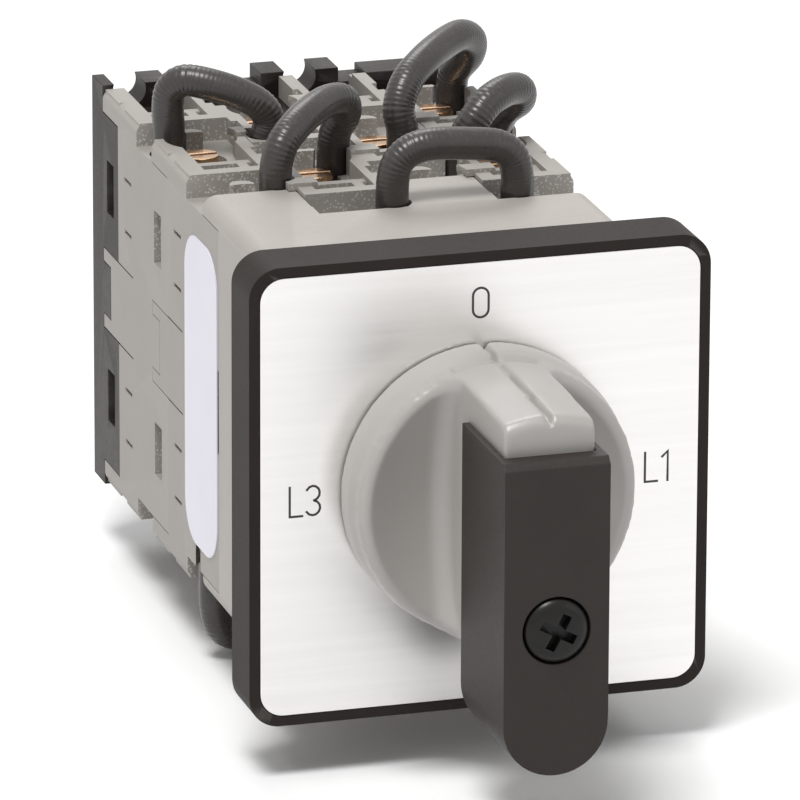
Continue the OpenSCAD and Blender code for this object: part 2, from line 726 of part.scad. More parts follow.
module stage_housing(y) {
    last = y + stage_len;
    color("#b4afab") difference() {
        union() {
            slab(y, last) rounded(body_w, wall_h, corner_r);
            above_and_below() {
                block(-body_x, body_x, y, last, wall_z - corner_r, floor_z);
                stage_top(y);
            }
            side_hooks(last, 0);
        }
        deck_room(y + end_wall, last + over, 0);
        strip_slots(y + end_wall, last + over);
        slab(y - over, last) circle(shaft_bore_r);
        tie_holes(y - over, last + over, tie_r + fit_gap);
        screw_wells(y, last + tongue_len);
        wire_ways(y, last + tongue_len);
        side_hooks(y, fit_gap);
        hook_seams(last);
        wall_windows(y);
        wall_marks(y);
    }
}

module mid_plate(y) {
    plate_y = y + end_wall + deck_depth;
    color("#9a958f") difference() {
        deck_room(plate_y, plate_y + mid_plate_t, -fit_gap);
        slab(plate_y - over, plate_y + mid_plate_t + over) circle(shaft_bore_r);
    }
}

module cam(y, notches) {
    color("#e8e4da") slab(y - cam_t / 2, y + cam_t / 2) difference() {
        circle(cam_r);
        shaft_hole();
        for (a = notches) rotate(a) translate([-follower_w / 2 - notch_gap, cam_r - notch_depth])
            square([follower_w + 2 * notch_gap, notch_depth + over]);
    }
}

// Contact carrier: its tip follows the cam, and its window holds the bridge
module carrier(y) {
    low = follower_z + carrier_tip_h;
    color("#d9c9a3") difference() {
        union() {
            block(-carrier_w / 2, carrier_w / 2, y - carrier_t / 2, y + carrier_t / 2, low, carrier_z);
            block(-follower_w / 2, follower_w / 2, y - carrier_t / 2, y + carrier_t / 2,
                follower_z, low + over);
        }
        block(-carrier_w, carrier_w, y - bridge_d / 2 - fit_gap / 2, y + bridge_d / 2 + fit_gap / 2,
            bridge_z - fit_gap / 2, bridge_z + bridge_t + fit_gap / 2);
        post(0, y, spring_foot_z, carrier_z + over, spring_d / 2 + fit_gap);
    }
}

module bridge(y) {
    color("#c98a5c")
        block(-bridge_half, bridge_half, y - bridge_d / 2, y + bridge_d / 2, bridge_z, bridge_z + bridge_t);
}

module contact_spring(y) {
    turn_z = spring_top_z - spring_foot_z - spring_wall;
    count = spring_turns * spring_steps;
    r = (spring_d - spring_wall) / 2;
    color("#b8babd") tube([for (i = [0 : count])
        [r * cos(360 * i / spring_steps), y + r * sin(360 * i / spring_steps),
            spring_foot_z + spring_wall / 2 + turn_z * i / count]], spring_wall / 2, spring_sides);
}

// Terminal strip: fixed contact under a bridge's end, leg in the wall, pad under the screw
module terminal(x, y) {
    outer = abs(x) > column_pitch;
    difference() {
        mirror([x < 0 ? 1 : 0, 0, 0]) slab(y - strip_d / 2, y + strip_d / 2) {
            span(tip_inner, leg_x + strip_t, tip_z, tip_z + strip_t);
            span(leg_x, leg_x + strip_t, tip_z, pad_z + pad_t);
            span(outer ? leg_x : INNER - pad_inner_reach, outer ? OUTER + pad_reach : leg_x + strip_t,
                pad_z, pad_z + pad_t);
        }
        post(x, y, pad_z - over, pad_z + pad_t + over, screw_core_r + fit_gap / 2);
    }
}

module at_terminals() {
    for (d = [0 : len(DECKS) - 1], x = COLUMNS[d]) translate([x, DECKS[d], 0]) children();
}

module terminals() {
    color("#c08a5a") for (d = [0 : len(DECKS) - 1], x = COLUMNS[d]) terminal(x, DECKS[d]);
}

module washers() {
    color("#b9bcc0") at_terminals() difference() {
        post(0, 0, washer_z, washer_z + washer_t, washer_r);
        post(0, 0, washer_z - over, washer_z + washer_t + over, screw_core_r + fit_gap / 2);
    }
}

module terminal_screws() {
    color("#c08060") at_terminals() difference() {
        union() {
            post(0, 0, screw_low_z, head_z + over, screw_core_r);
            post(0, 0, head_z, head_z + head_t, head_r);
        }
        block(-head_r - over, head_r + over, -slot_w / 2, slot_w / 2, head_z + head_t - slot_depth, stage_z);
    }
}

// Bare core of a jumper's end: down its shaft, then level up to the screw
module bare_core(start, screw) {
    level = [start[0], start[1], sign(start[2]) * core_z];
    side = unit([start[0], start[1]] - screw) * core_stop;
    stop = [screw[0] + side[0], screw[1] + side[1], level[2]];
    if (abs(start[2]) > core_z) {
        rod_between(level, start + [0, 0, sign(start[2]) * over], core_d / 2);
        translate(level) sphere(core_d / 2);
        rod_between(level, stop, core_d / 2);
    } else {
        rod_between(level + unit(level - stop) * over, stop, core_d / 2);
    }
}

module jumper(k) {
    route = JUMPERS[k];
    color("#3c3835") {
        tube(route, wire_d / 2, wire_sides);
        for (e = [0, 1]) bare_core(e == 0 ? route[0] : route[len(route) - 1],
            [JUMPER_ENDS[k][e][0], DECKS[JUMPER_ENDS[k][e][1]]]);
    }
}

module rear_cover() {
    top_y = cover_y + tongue_len + fit_gap;
    color("#3a3532") difference() {
        union() {
            slab(cover_y, body_end) rounded(body_w, wall_h, corner_r);
            above_and_below() {
                block(-body_x, body_x, cover_y, top_y + over, wall_z - corner_r, floor_z);
                block(-body_x, body_x, top_y, body_end, wall_z - corner_r, cover_z);
                for (x = NOTCH_X, s = [-1, 1])
                    block(max(-body_x, x + s * block_gap - block_w / 2), x + s * block_gap + block_w / 2,
                        top_y, body_end, cover_z - over, block_z);
                block(body_x - column_pitch, body_x, top_y, body_end,
                    cover_z - over, (cover_z + block_z) / 2);
            }
        }
        above_and_below() for (x = NOTCH_X) translate([x, 0, cover_z + notch_r / 2])
            slab(top_y - over, body_end + over) circle(notch_r);
        slab(cover_y - over, cover_y + cover_cavity_depth) circle(cover_cavity_r);
        slab(cover_y, body_end - journal_wall) circle(journal_r + fit_gap);
        tie_holes(cover_y - over, body_end + over, tie_r + fit_gap);
        tie_holes(body_end - tie_head_t - fit_gap, body_end + over, tie_head_r + fit_gap);
        side_hooks(cover_y, fit_gap);
        wall_windows(cover_y - window_ahead);
    }
}

module tie_screws() {
    color("#a9adb1") for (s = [-1, 1]) translate([s * tie_x, 0, 0]) difference() {
        union() {
            slab(front_len - nut_t - tie_end, body_end - tie_head_t + over) circle(tie_r);
            slab(body_end - tie_head_t, body_end) circle(tie_head_r);
        }
        translate([0, body_end, 0]) rotate([-90, 0, 0]) cross_recess(tie_head_r * 1.2, tie_head_t * 0.6);
    }
}

module tie_nuts() {
    color("#9a9da0") for (s = [-1, 1]) translate([s * tie_x, 0, 0])
        slab(front_len - nut_t - fit_gap, front_len - fit_gap) difference() {
            rotate(30) circle(nut_r, $fn = 6);
            circle(tie_r + fit_gap / 10);
        }
}

// Plain label on the left wall of the first stage
module side_label() {
    color("#dcdae6") translate([-body_x - label_t, label_y, label_z]) rotate([90, 0, 90])
        linear_extrude(label_t) rounded(label_w, label_h, label_corner);
}

bezel_frame();
escutcheon_plate();
knob();
lever_grip();
lever_screw();
front_housing();
front_bush();
shaft();
star_wheel();
detent_springs();
stage_housing(stage_1_y);  // stage_1_housing
stage_housing(stage_2_y);  // stage_2_housing
mid_plate(stage_1_y);  // stage_1_mid_plate
mid_plate(stage_2_y);  // stage_2_mid_plate
rear_cover();
tie_screws();
tie_nuts();
shaft_ring();
for (k = [0 : len(DECKS) - 1]) {
    cam(DECKS[k], CAM_NOTCHES[k]);
    carrier(DECKS[k]);
    mirror([0, 0, 1]) carrier(DECKS[k]);
    bridge(DECKS[k]);
    mirror([0, 0, 1]) bridge(DECKS[k]);
    contact_spring(DECKS[k]);
    mirror([0, 0, 1]) contact_spring(DECKS[k]);
}
terminals();  // top_terminals
mirror([0, 0, 1]) terminals();  // bottom_terminals
washers();  // top_washers
mirror([0, 0, 1]) washers();  // bottom_washers
terminal_screws();  // top_screws
mirror([0, 0, 1]) terminal_screws();  // bottom_screws
for (k = [0 : len(JUMPERS) - 1])
    jumper(k);
side_label();
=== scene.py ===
# Rotary ammeter selector switch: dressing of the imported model, with studio, camera and materials
import json
import math
import random
import bmesh
import bpy
from mathutils import Matrix, Vector


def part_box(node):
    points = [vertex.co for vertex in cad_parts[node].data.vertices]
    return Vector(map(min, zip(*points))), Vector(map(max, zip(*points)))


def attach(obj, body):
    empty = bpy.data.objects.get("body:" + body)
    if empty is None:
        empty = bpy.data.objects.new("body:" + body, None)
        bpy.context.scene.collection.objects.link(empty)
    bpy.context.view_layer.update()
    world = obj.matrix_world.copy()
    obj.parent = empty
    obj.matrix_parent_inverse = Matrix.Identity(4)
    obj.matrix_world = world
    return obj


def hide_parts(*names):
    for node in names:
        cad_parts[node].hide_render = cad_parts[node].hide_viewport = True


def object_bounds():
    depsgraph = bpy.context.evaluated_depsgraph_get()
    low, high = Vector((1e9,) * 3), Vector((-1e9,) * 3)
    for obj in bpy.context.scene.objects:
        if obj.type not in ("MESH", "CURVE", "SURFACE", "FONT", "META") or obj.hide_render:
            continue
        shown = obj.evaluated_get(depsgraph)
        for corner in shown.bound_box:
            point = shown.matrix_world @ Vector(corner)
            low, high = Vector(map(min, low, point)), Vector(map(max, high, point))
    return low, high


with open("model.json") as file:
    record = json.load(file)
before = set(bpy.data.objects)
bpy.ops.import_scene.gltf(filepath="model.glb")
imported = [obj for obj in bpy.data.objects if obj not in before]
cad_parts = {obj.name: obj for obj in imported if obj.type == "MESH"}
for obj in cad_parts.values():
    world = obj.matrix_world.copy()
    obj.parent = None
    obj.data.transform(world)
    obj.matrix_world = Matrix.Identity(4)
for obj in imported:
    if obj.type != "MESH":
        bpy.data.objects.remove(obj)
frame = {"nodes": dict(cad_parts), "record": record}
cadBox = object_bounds()
mm = 0.001
scene = bpy.context.scene
print("stage: frame loaded")

view = {
    "focalPixels": 9011.1,
    "imagePixels": 800,
    "sensorWidth": 36.0,
    "yaw": 0.29101,
    "pitch": 0.31162,
    "roll": 0.00416,
    "offset": (5.79073, 5.80033, 850.122),  # mm
    "farEnd": 10,
}


def addCamera():
    yaw = Matrix.Rotation(-view["yaw"], 3, "Y")
    pitch = Matrix.Rotation(view["pitch"], 3, "X")
    roll = Matrix.Rotation(view["roll"], 3, "Z")
    level = Matrix(((1, 0, 0), (0, 0, -1), (0, 1, 0)))
    toCamera = roll @ pitch @ yaw @ level
    place = -(toCamera.transposed() @ Vector(view["offset"])) * mm
    turn = toCamera.transposed() @ Matrix.Diagonal((1, -1, -1))
    bpy.ops.object.camera_add()
    camera = bpy.context.object
    camera.name = "photoCamera"
    camera.matrix_world = Matrix.Translation(place) @ turn.to_4x4()
    camera.data.sensor_width = view["sensorWidth"]
    camera.data.lens = view["focalPixels"] / view["imagePixels"] * view["sensorWidth"]
    camera.data.clip_end = view["farEnd"]
    scene.camera = camera


addCamera()


def deselect():
    bpy.ops.object.select_all(action="DESELECT")


def activate(piece):
    deselect()
    piece.select_set(True)
    bpy.context.view_layer.objects.active = piece


def newPiece(name, mesh):
    piece = bpy.data.objects.new(name, mesh)
    scene.collection.objects.link(piece)
    return piece


# Node groups shared by the materials

effects = {
    "fleckPatchScale": 420.0,
    "fleckSharpness": 12.0,
    "lineStretch": (60, 6000, 9000),  # long along X, fine across
    "bandStretch": (25, 300, 900),
    "wearFrom": 0.53,  # pointiness of a flat face is 0.5
    "wearSharpness": 12.0,
    "wearScale": 900.0,
    "dustLying": 0.8,
    "dustScale": 2300.0,
    "dustFrom": 0.5,
    "dustSharpness": 3.0,
}


def newGroup(name, inputs, outputs):
    group = bpy.data.node_groups.new(name, "ShaderNodeTree")
    for socket, kind, value in inputs:
        made = group.interface.new_socket(socket, in_out="INPUT", socket_type=kind)
        made.default_value = value
    for socket, kind in outputs:
        group.interface.new_socket(socket, in_out="OUTPUT", socket_type=kind)
    start = group.nodes.new("NodeGroupInput")
    end = group.nodes.new("NodeGroupOutput")
    return group, start, end


def addMath(group, operation, first, second=None, clamp=False):
    node = group.nodes.new("ShaderNodeMath")
    node.operation = operation
    node.use_clamp = clamp
    for index, value in enumerate((first, second)):
        if value is None:
            continue
        if isinstance(value, (int, float)):
            node.inputs[index].default_value = value
        else:
            group.links.new(value, node.inputs[index])
    return node.outputs[0]


def addNoise(group, vector, scale, detail=2.0, roughness=0.5):
    node = group.nodes.new("ShaderNodeTexNoise")
    node.inputs["Detail"].default_value = detail
    node.inputs["Roughness"].default_value = roughness
    if isinstance(scale, (int, float)):
        node.inputs["Scale"].default_value = scale
    else:
        group.links.new(scale, node.inputs["Scale"])
    group.links.new(vector, node.inputs["Vector"])
    return node.outputs["Fac"]


def objectPlace(group, stretch=None):
    place = group.nodes.new("ShaderNodeTexCoord").outputs["Object"]
    if stretch is None:
        return place
    mapping = group.nodes.new("ShaderNodeMapping")
    mapping.inputs["Scale"].default_value = stretch
    group.links.new(place, mapping.inputs["Vector"])
    return mapping.outputs["Vector"]


def makeMouldedGrain():
    # Spark-eroded mould texture with slow cloudiness under it
    group, start, end = newGroup(
        "mouldedGrain",
        [("Grain Scale", "NodeSocketFloat", 5000.0), ("Cloud Scale", "NodeSocketFloat", 180.0)],
        [("Height", "NodeSocketFloat"), ("Cloud", "NodeSocketFloat")])
    place = objectPlace(group)
    fine = addNoise(group, place, start.outputs["Grain Scale"], detail=3.0, roughness=0.6)
    cloud = addNoise(group, place, start.outputs["Cloud Scale"], detail=3.0, roughness=0.55)
    group.links.new(fine, end.inputs["Height"])
    group.links.new(cloud, end.inputs["Cloud"])
    return group


def makeGlassFibreGlint():
    # Short fibres as small flecks; the mask is kept to the faces that look along Y, where it paints pale
    # glints into the colour
    group, start, end = newGroup(
        "glassFibreGlint", [("Scale", "NodeSocketFloat", 2600.0), ("Share", "NodeSocketFloat", 0.2)],
        [("Mask", "NodeSocketFloat"), ("Height", "NodeSocketFloat")])
    place = objectPlace(group)
    cells = group.nodes.new("ShaderNodeTexVoronoi")
    group.links.new(place, cells.inputs["Vector"])
    group.links.new(start.outputs["Scale"], cells.inputs["Scale"])
    patches = addNoise(group, place, effects["fleckPatchScale"])
    size = addMath(group, "MULTIPLY", start.outputs["Share"], patches)
    near = addMath(group, "SUBTRACT", size, cells.outputs["Distance"])
    mask = addMath(group, "MULTIPLY", near, effects["fleckSharpness"], clamp=True)
    facing = group.nodes.new("ShaderNodeSeparateXYZ")
    group.links.new(group.nodes.new("ShaderNodeNewGeometry").outputs["True Normal"], facing.inputs[0])
    front = addMath(group, "ABSOLUTE", facing.outputs["Y"])
    group.links.new(addMath(group, "MULTIPLY", mask, front), end.inputs["Mask"])
    group.links.new(cells.outputs["Distance"], end.inputs["Height"])
    return group


def makeBrushing():
    # Fine lines along X, with broader bands under them
    group, start, end = newGroup("brushing", [("Fineness", "NodeSocketFloat", 1.0)],
                                 [("Height", "NodeSocketFloat"), ("Band", "NodeSocketFloat")])
    fineness = start.outputs["Fineness"]
    fine = addNoise(group, objectPlace(group, effects["lineStretch"]), fineness, detail=3.0, roughness=0.7)
    band = addNoise(group, objectPlace(group, effects["bandStretch"]), fineness, detail=3.0, roughness=0.6)
    group.links.new(fine, end.inputs["Height"])
    group.links.new(band, end.inputs["Band"])
    return group


def makeEdgeWear():
    # Paler corners, broken up by noise
    group, start, end = newGroup("edgeWear", [("Amount", "NodeSocketFloat", 0.5)],
                                 [("Mask", "NodeSocketFloat")])
    corner = group.nodes.new("ShaderNodeNewGeometry").outputs["Pointiness"]
    above = addMath(group, "SUBTRACT", corner, effects["wearFrom"])
    raised = addMath(group, "MULTIPLY", above, effects["wearSharpness"], clamp=True)
    broken = addNoise(group, objectPlace(group), effects["wearScale"], detail=4.0, roughness=0.65)
    mask = addMath(group, "MULTIPLY", raised, broken)
    wanted = addMath(group, "MULTIPLY", mask, start.outputs["Amount"], clamp=True)
    group.links.new(wanted, end.inputs["Mask"])
    return group


def makeDustAndSheen():
    # Thin dust that settles on faces that look up; in the wire skin it is set high, so the paler tops there
    # are also a painted highlight from above
    group, start, end = newGroup("dustAndSheen", [("Amount", "NodeSocketFloat", 0.3)],
                                 [("Mask", "NodeSocketFloat")])
    up = group.nodes.new("ShaderNodeSeparateXYZ")
    group.links.new(group.nodes.new("ShaderNodeNewGeometry").outputs["Normal"], up.inputs[0])
    lying = addMath(group, "MULTIPLY", up.outputs["Z"], effects["dustLying"], clamp=True)
    specks = addNoise(group, objectPlace(group), effects["dustScale"], detail=5.0, roughness=0.7)
    above = addMath(group, "SUBTRACT", specks, effects["dustFrom"])
    sparse = addMath(group, "MULTIPLY", above, effects["dustSharpness"], clamp=True)
    mask = addMath(group, "MULTIPLY", lying, sparse)
    wanted = addMath(group, "MULTIPLY", mask, start.outputs["Amount"], clamp=True)
    group.links.new(wanted, end.inputs["Mask"])
    return group


groups = {
    "grain": makeMouldedGrain(),
    "fibreGlint": makeGlassFibreGlint(),
    "brushing": makeBrushing(),
    "wear": makeEdgeWear(),
    "dustAndSheen": makeDustAndSheen(),
}


def hexColor(text, alpha=1.0):
    def linear(value):
        return value / 12.92 if value <= 0.04045 else ((value + 0.055) / 1.055) ** 2.4
    return tuple(linear(int(text[i:i + 2], 16) / 255) for i in (0, 2, 4)) + (alpha,)


class Surface:
    def __init__(self, name, roughness, metallic=0.0):
        self.material = bpy.data.materials.new(name)
        self.material.use_nodes = True
        self.tree = self.material.node_tree
        self.shader = self.tree.nodes["Principled BSDF"]
        self.shader.inputs["Roughness"].default_value = roughness
        self.shader.inputs["Metallic"].default_value = metallic

    def group(self, key, **values):
        node = self.tree.nodes.new("ShaderNodeGroup")
        node.node_tree = groups[key]
        for socket, value in values.items():
            node.inputs[socket.replace("_", " ")].default_value = value
        return node

    def mix(self, first, second, mask):
        node = self.tree.nodes.new("ShaderNodeMix")
        node.data_type = "RGBA"
        for socket, value in ((node.inputs[6], first), (node.inputs[7], second)):
            if isinstance(value, tuple):
                socket.default_value = value
            else:
                self.tree.links.new(value, socket)
        self.tree.links.new(mask, node.inputs[0])
        return node.outputs[2]

    def bump(self, height, strength, distance, normal=None):
        node = self.tree.nodes.new("ShaderNodeBump")
        node.inputs["Strength"].default_value = strength
        node.inputs["Distance"].default_value = distance
        self.tree.links.new(height, node.inputs["Height"])
        if normal is not None:
            self.tree.links.new(normal, node.inputs["Normal"])
        return node.outputs["Normal"]

    def spread(self, mask, low, high):
        node = self.tree.nodes.new("ShaderNodeMapRange")
        node.inputs["To Min"].default_value = low
        node.inputs["To Max"].default_value = high
        self.tree.links.new(mask, node.inputs["Value"])
        return node.outputs["Result"]

    def finish(self, color=None, roughness=None, normal=None):
        for socket, value in (("Base Color", color), ("Roughness", roughness), ("Normal", normal)):
            if value is not None:
                self.tree.links.new(value, self.shader.inputs[socket])
        return self.material


plastic = {
    "glossier": 0.09,
    "duller": 0.12,
    "wornColor": "d8d4ce",
    "dustAndSheenColor": "cfcac3",
    "reliefDepth": 0.04 * mm,
}


def mouldedPlastic(name, base, pale, roughness=0.4, grain=5200.0, relief=0.25, wear=0.35, dustAndSheen=0.25,
                   specular=0.5):
    surface = Surface(name, roughness)
    surface.shader.inputs["Specular IOR Level"].default_value = specular
    texture = surface.group("grain", Grain_Scale=grain)
    edgeMask = surface.group("wear", Amount=wear).outputs["Mask"]
    dustMask = surface.group("dustAndSheen", Amount=dustAndSheen).outputs["Mask"]
    clouded = surface.mix(hexColor(base), hexColor(pale), texture.outputs["Cloud"])
    worn = surface.mix(clouded, hexColor(plastic["wornColor"]), edgeMask)
    dustyAndSheened = surface.mix(worn, hexColor(plastic["dustAndSheenColor"]), dustMask)
    rough = surface.spread(texture.outputs["Height"], roughness - plastic["glossier"],
                           roughness + plastic["duller"])
    skinNormal = surface.bump(texture.outputs["Height"], relief, plastic["reliefDepth"])
    return surface.finish(dustyAndSheened, rough, skinNormal)


glassFilling = {
    "grain": 4200.0,
    "cloud": 260.0,
    "fleckScale": 3000.0,
    # colour of the painted glints of the fibres
    "fleckGlintColor": "e9e7e4",
    "fleckGlintStrength": 0.55,
    "wornColor": "dedad6",
    "wear": 0.08,
    "plainRoughness": 0.58,
    "fleckRoughness": 0.22,
    "relief": (0.25, 0.04 * mm),
    "fleckRelief": (0.1, 0.03 * mm),
}


def glassFilled(name, base, pale, share):
    surface = Surface(name, glassFilling["plainRoughness"])
    texture = surface.group("grain", Grain_Scale=glassFilling["grain"], Cloud_Scale=glassFilling["cloud"])
    flecks = surface.group("fibreGlint", Scale=glassFilling["fleckScale"], Share=share)
    # Pale flecks painted into the colour on faces that look along Y: painted glints of the glass fibres,
    # with real gloss and relief under them
    shown = surface.spread(flecks.outputs["Mask"], 0.0, glassFilling["fleckGlintStrength"])
    edgeMask = surface.group("wear", Amount=glassFilling["wear"]).outputs["Mask"]
    clouded = surface.mix(hexColor(base), hexColor(pale), texture.outputs["Cloud"])
    fleckedAndGlinting = surface.mix(clouded, hexColor(glassFilling["fleckGlintColor"]), shown)
    worn = surface.mix(fleckedAndGlinting, hexColor(glassFilling["wornColor"]), edgeMask)
    rough = surface.spread(flecks.outputs["Mask"], glassFilling["plainRoughness"],
                           glassFilling["fleckRoughness"])
    grainNormal = surface.bump(texture.outputs["Height"], *glassFilling["relief"])
    fleckNormal = surface.bump(flecks.outputs["Height"], *glassFilling["fleckRelief"], grainNormal)
    return surface.finish(worn, rough, fleckNormal)


brushedSheet = {"glossier": 0.08, "duller": 0.14, "relief": (0.12, 0.02 * mm)}


def brushedMetal(name, base, pale, roughness):
    surface = Surface(name, roughness, 1.0)
    lines = surface.group("brushing")
    color = surface.mix(hexColor(base), hexColor(pale), lines.outputs["Band"])
    rough = surface.spread(lines.outputs["Height"], roughness - brushedSheet["glossier"],
                           roughness + brushedSheet["duller"])
    return surface.finish(color, rough, surface.bump(lines.outputs["Height"], *brushedSheet["relief"]))


turning = {
    "grain": 6500.0,
    "cloud": 700.0,
    "wornColor": "fff3e8",
    "glossier": 0.1,
    "duller": 0.15,
    "relief": (0.15, 0.03 * mm),
}


def turnedMetal(name, base, pale, roughness, wear=0.4):
    surface = Surface(name, roughness, 1.0)
    texture = surface.group("grain", Grain_Scale=turning["grain"], Cloud_Scale=turning["cloud"])
    edgeMask = surface.group("wear", Amount=wear).outputs["Mask"]
    clouded = surface.mix(hexColor(base), hexColor(pale), texture.outputs["Cloud"])
    worn = surface.mix(clouded, hexColor(turning["wornColor"]), edgeMask)
    rough = surface.spread(texture.outputs["Cloud"], roughness - turning["glossier"],
                           roughness + turning["duller"])
    return surface.finish(worn, rough, surface.bump(texture.outputs["Height"], *turning["relief"]))


skin = {
    "colors": ("2f2b29", "3f3b38"),
    "dustAndSheenColor": "8a8682",
    # set high, so the wire's paler tops are partly dust and partly a painted highlight from above
    "dustAndSheen": 0.4,
    "grain": 2600.0,
    "cloud": 350.0,
    "roughness": (0.2, 0.4),
    "relief": (0.2, 0.06 * mm),
}


def wireSkin(name):
    surface = Surface(name, sum(skin["roughness"]) / 2)
    texture = surface.group("grain", Grain_Scale=skin["grain"], Cloud_Scale=skin["cloud"])
    clouded = surface.mix(*map(hexColor, skin["colors"]), texture.outputs["Cloud"])
    # Paler tops of the wire: thin dust and a painted highlight from above
    dustAndSheenMask = surface.group("dustAndSheen", Amount=skin["dustAndSheen"]).outputs["Mask"]
    dustyAndSheened = surface.mix(clouded, hexColor(skin["dustAndSheenColor"]), dustAndSheenMask)
    rough = surface.spread(texture.outputs["Height"], *skin["roughness"])
    return surface.finish(dustyAndSheened, rough, surface.bump(texture.outputs["Height"], *skin["relief"]))


paper = {
    "colors": ("d9d7e2", "e4e2ec"),
    "roughness": 0.38,
    "grain": 3000.0,
    "cloud": 120.0,
    "relief": (0.05, 0.02 * mm),
}


def labelPaper(name):
    surface = Surface(name, paper["roughness"])
    texture = surface.group("grain", Grain_Scale=paper["grain"], Cloud_Scale=paper["cloud"])
    color = surface.mix(*map(hexColor, paper["colors"]), texture.outputs["Cloud"])
    return surface.finish(color, None, surface.bump(texture.outputs["Height"], *paper["relief"]))


finishes = {
    "bezel": mouldedPlastic("bezelPlastic", "272220", "302a27", roughness=0.55, grain=4600.0, relief=0.35,
                            wear=0.12, dustAndSheen=0.02, specular=0.12),
    "silver_plate": brushedMetal("silverSheet", "e6e4e2", "f3f1ef", roughness=0.3),
    "knob": mouldedPlastic("knobPlastic", "a6a39f", "aba8a4", roughness=0.34, grain=6500.0, relief=0.01,
                           wear=0.0, dustAndSheen=0.0, specular=0.6),
    "lever": mouldedPlastic("leverPlastic", "241f1c", "2e2825", roughness=0.5, relief=0.5, wear=0.1,
                            dustAndSheen=0.04, specular=0.3),
    "dark_steel": mouldedPlastic("blackSteel", "0b0908", "120f0d", roughness=0.3, grain=6500.0, relief=0.03,
                                 wear=0.0, dustAndSheen=0.0, specular=0.3),
    "housing": mouldedPlastic("housingPlastic", "a19b95", "aaa49e", roughness=0.5, grain=4800.0, relief=0.3,
                              wear=0.2, dustAndSheen=0.1),
    "stage": glassFilled("stagePlastic", "9a958f", "a19c96", share=0.7),
    "cover": mouldedPlastic("coverPlastic", "1f1a18", "292421", roughness=0.45, grain=3800.0, relief=0.4,
                            wear=0.1, dustAndSheen=0.05, specular=0.15),
    "bush": mouldedPlastic("bushPlastic", "d8d4c4", "e0dccd"),
    "zinc_steel": turnedMetal("zincSteel", "b3b5b6", "c9cacb", roughness=0.32),
    "spring_steel": turnedMetal("springSteel", "a9acae", "c4c6c8", roughness=0.25),
    "cam": mouldedPlastic("camPlastic", "e2ded2", "ece8de"),
    "carrier": mouldedPlastic("carrierPlastic", "d3c39b", "decfab", roughness=0.5),
    "copper": turnedMetal("copperBrass", "b08a63", "d3ab85", roughness=0.22, wear=0.5),
    "wire": wireSkin("wireSkin"),
    "label": labelPaper("labelPaper"),
}
print("stage: materials made")


def bodyOf(node):
    for body, names in frame["record"]["behaviour"]["bodies"].items():
        if node in names:
            return body
    return "base"


slotOf = {row["node"]: row["material_slot"] for row in frame["record"]["subparts"]}


def dressNode(node):
    shown = frame["nodes"][node]
    shown.data.materials.clear()
    shown.data.materials.append(finishes[slotOf[node]])


for nodeName in slotOf:
    dressNode(nodeName)


# Copies of nodes with their mould radii

copying = {
    "mergeDistance": 0.001 * mm,
    "flatAngle": math.radians(0.4),
}


def looseCopy(node, name):
    source = frame["nodes"][node]
    mesh = source.data.copy()
    piece = newPiece(name, mesh)
    work = bmesh.new()
    work.from_mesh(mesh)
    bmesh.ops.remove_doubles(work, verts=work.verts, dist=copying["mergeDistance"])
    bmesh.ops.dissolve_limit(work, angle_limit=copying["flatAngle"], verts=work.verts, edges=work.edges)
    work.to_mesh(mesh)
    work.free()
    return piece


def applyModifiers(piece):
    activate(piece)
    for modifier in list(piece.modifiers):
        bpy.ops.object.modifier_apply(modifier=modifier.name)


def seat(piece, node):
    piece.data.materials.clear()
    piece.data.materials.append(finishes[slotOf[node]])
    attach(piece, bodyOf(node))
    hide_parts(node)


edges = {
    "bevelFrom": math.radians(35),
    "smoothUpTo": math.radians(32),
    "flatSided": ("rear_cover", "front_housing", "stage_1_housing", "stage_2_housing"),
    "flatArea": 12 * mm * mm,
}


def roundedCopy(node, name, radius, segments):
    piece = looseCopy(node, name)
    bevel = piece.modifiers.new("mouldRadius", "BEVEL")
    bevel.width = radius
    bevel.segments = segments
    bevel.limit_method = "ANGLE"
    bevel.angle_limit = edges["bevelFrom"]
    bevel.miter_outer = "MITER_ARC"
    applyModifiers(piece)
    activate(piece)
    bpy.ops.object.shade_smooth_by_angle(angle=edges["smoothUpTo"])
    if node in edges["flatSided"]:
        for face in piece.data.polygons:
            if face.area > edges["flatArea"]:
                face.use_smooth = False
    weigh = piece.modifiers.new("faceWeight", "WEIGHTED_NORMAL")
    weigh.keep_sharp = True
    applyModifiers(piece)
    seat(piece, node)


rounding = {  # node: name of its piece, radius, segments
    "bezel_frame": ("bezelRounded", 0.5 * mm, 4),
    "escutcheon_plate": ("silverPlate", 0.1 * mm, 2),
    "lever_grip": ("leverRounded", 0.4 * mm, 4),
    "lever_screw": ("leverScrewRounded", 0.1 * mm, 2),
    "front_housing": ("housingRounded", 0.3 * mm, 3),
    "stage_1_housing": ("stageOneRounded", 0.15 * mm, 2),
    "stage_2_housing": ("stageTwoRounded", 0.15 * mm, 2),
    "rear_cover": ("coverRounded", 0.25 * mm, 3),
    "top_screws": ("topScrewsRounded", 0.15 * mm, 2),
    "bottom_screws": ("bottomScrewsRounded", 0.15 * mm, 2),
}
for nodeName, (pieceName, radius, segments) in rounding.items():
    roundedCopy(nodeName, pieceName, radius, segments)


leverScrew = {"turn": math.radians(28)}


def turnLeverScrew():
    # The screw stops where it bites, so its cross stands at an angle
    low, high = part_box("lever_screw")
    centre = (low + high) / 2
    turn = Matrix.Translation(centre) @ Matrix.Rotation(leverScrew["turn"], 4, "Y")
    bpy.data.objects["leverScrewRounded"].data.transform(turn @ Matrix.Translation(-centre))


turnLeverScrew()
print("stage: moulded copies made")


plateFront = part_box("escutcheon_plate")[0].y

# Knob: ridge from the solid, with spoon-shaped hollows beside it and a crisp rim round them

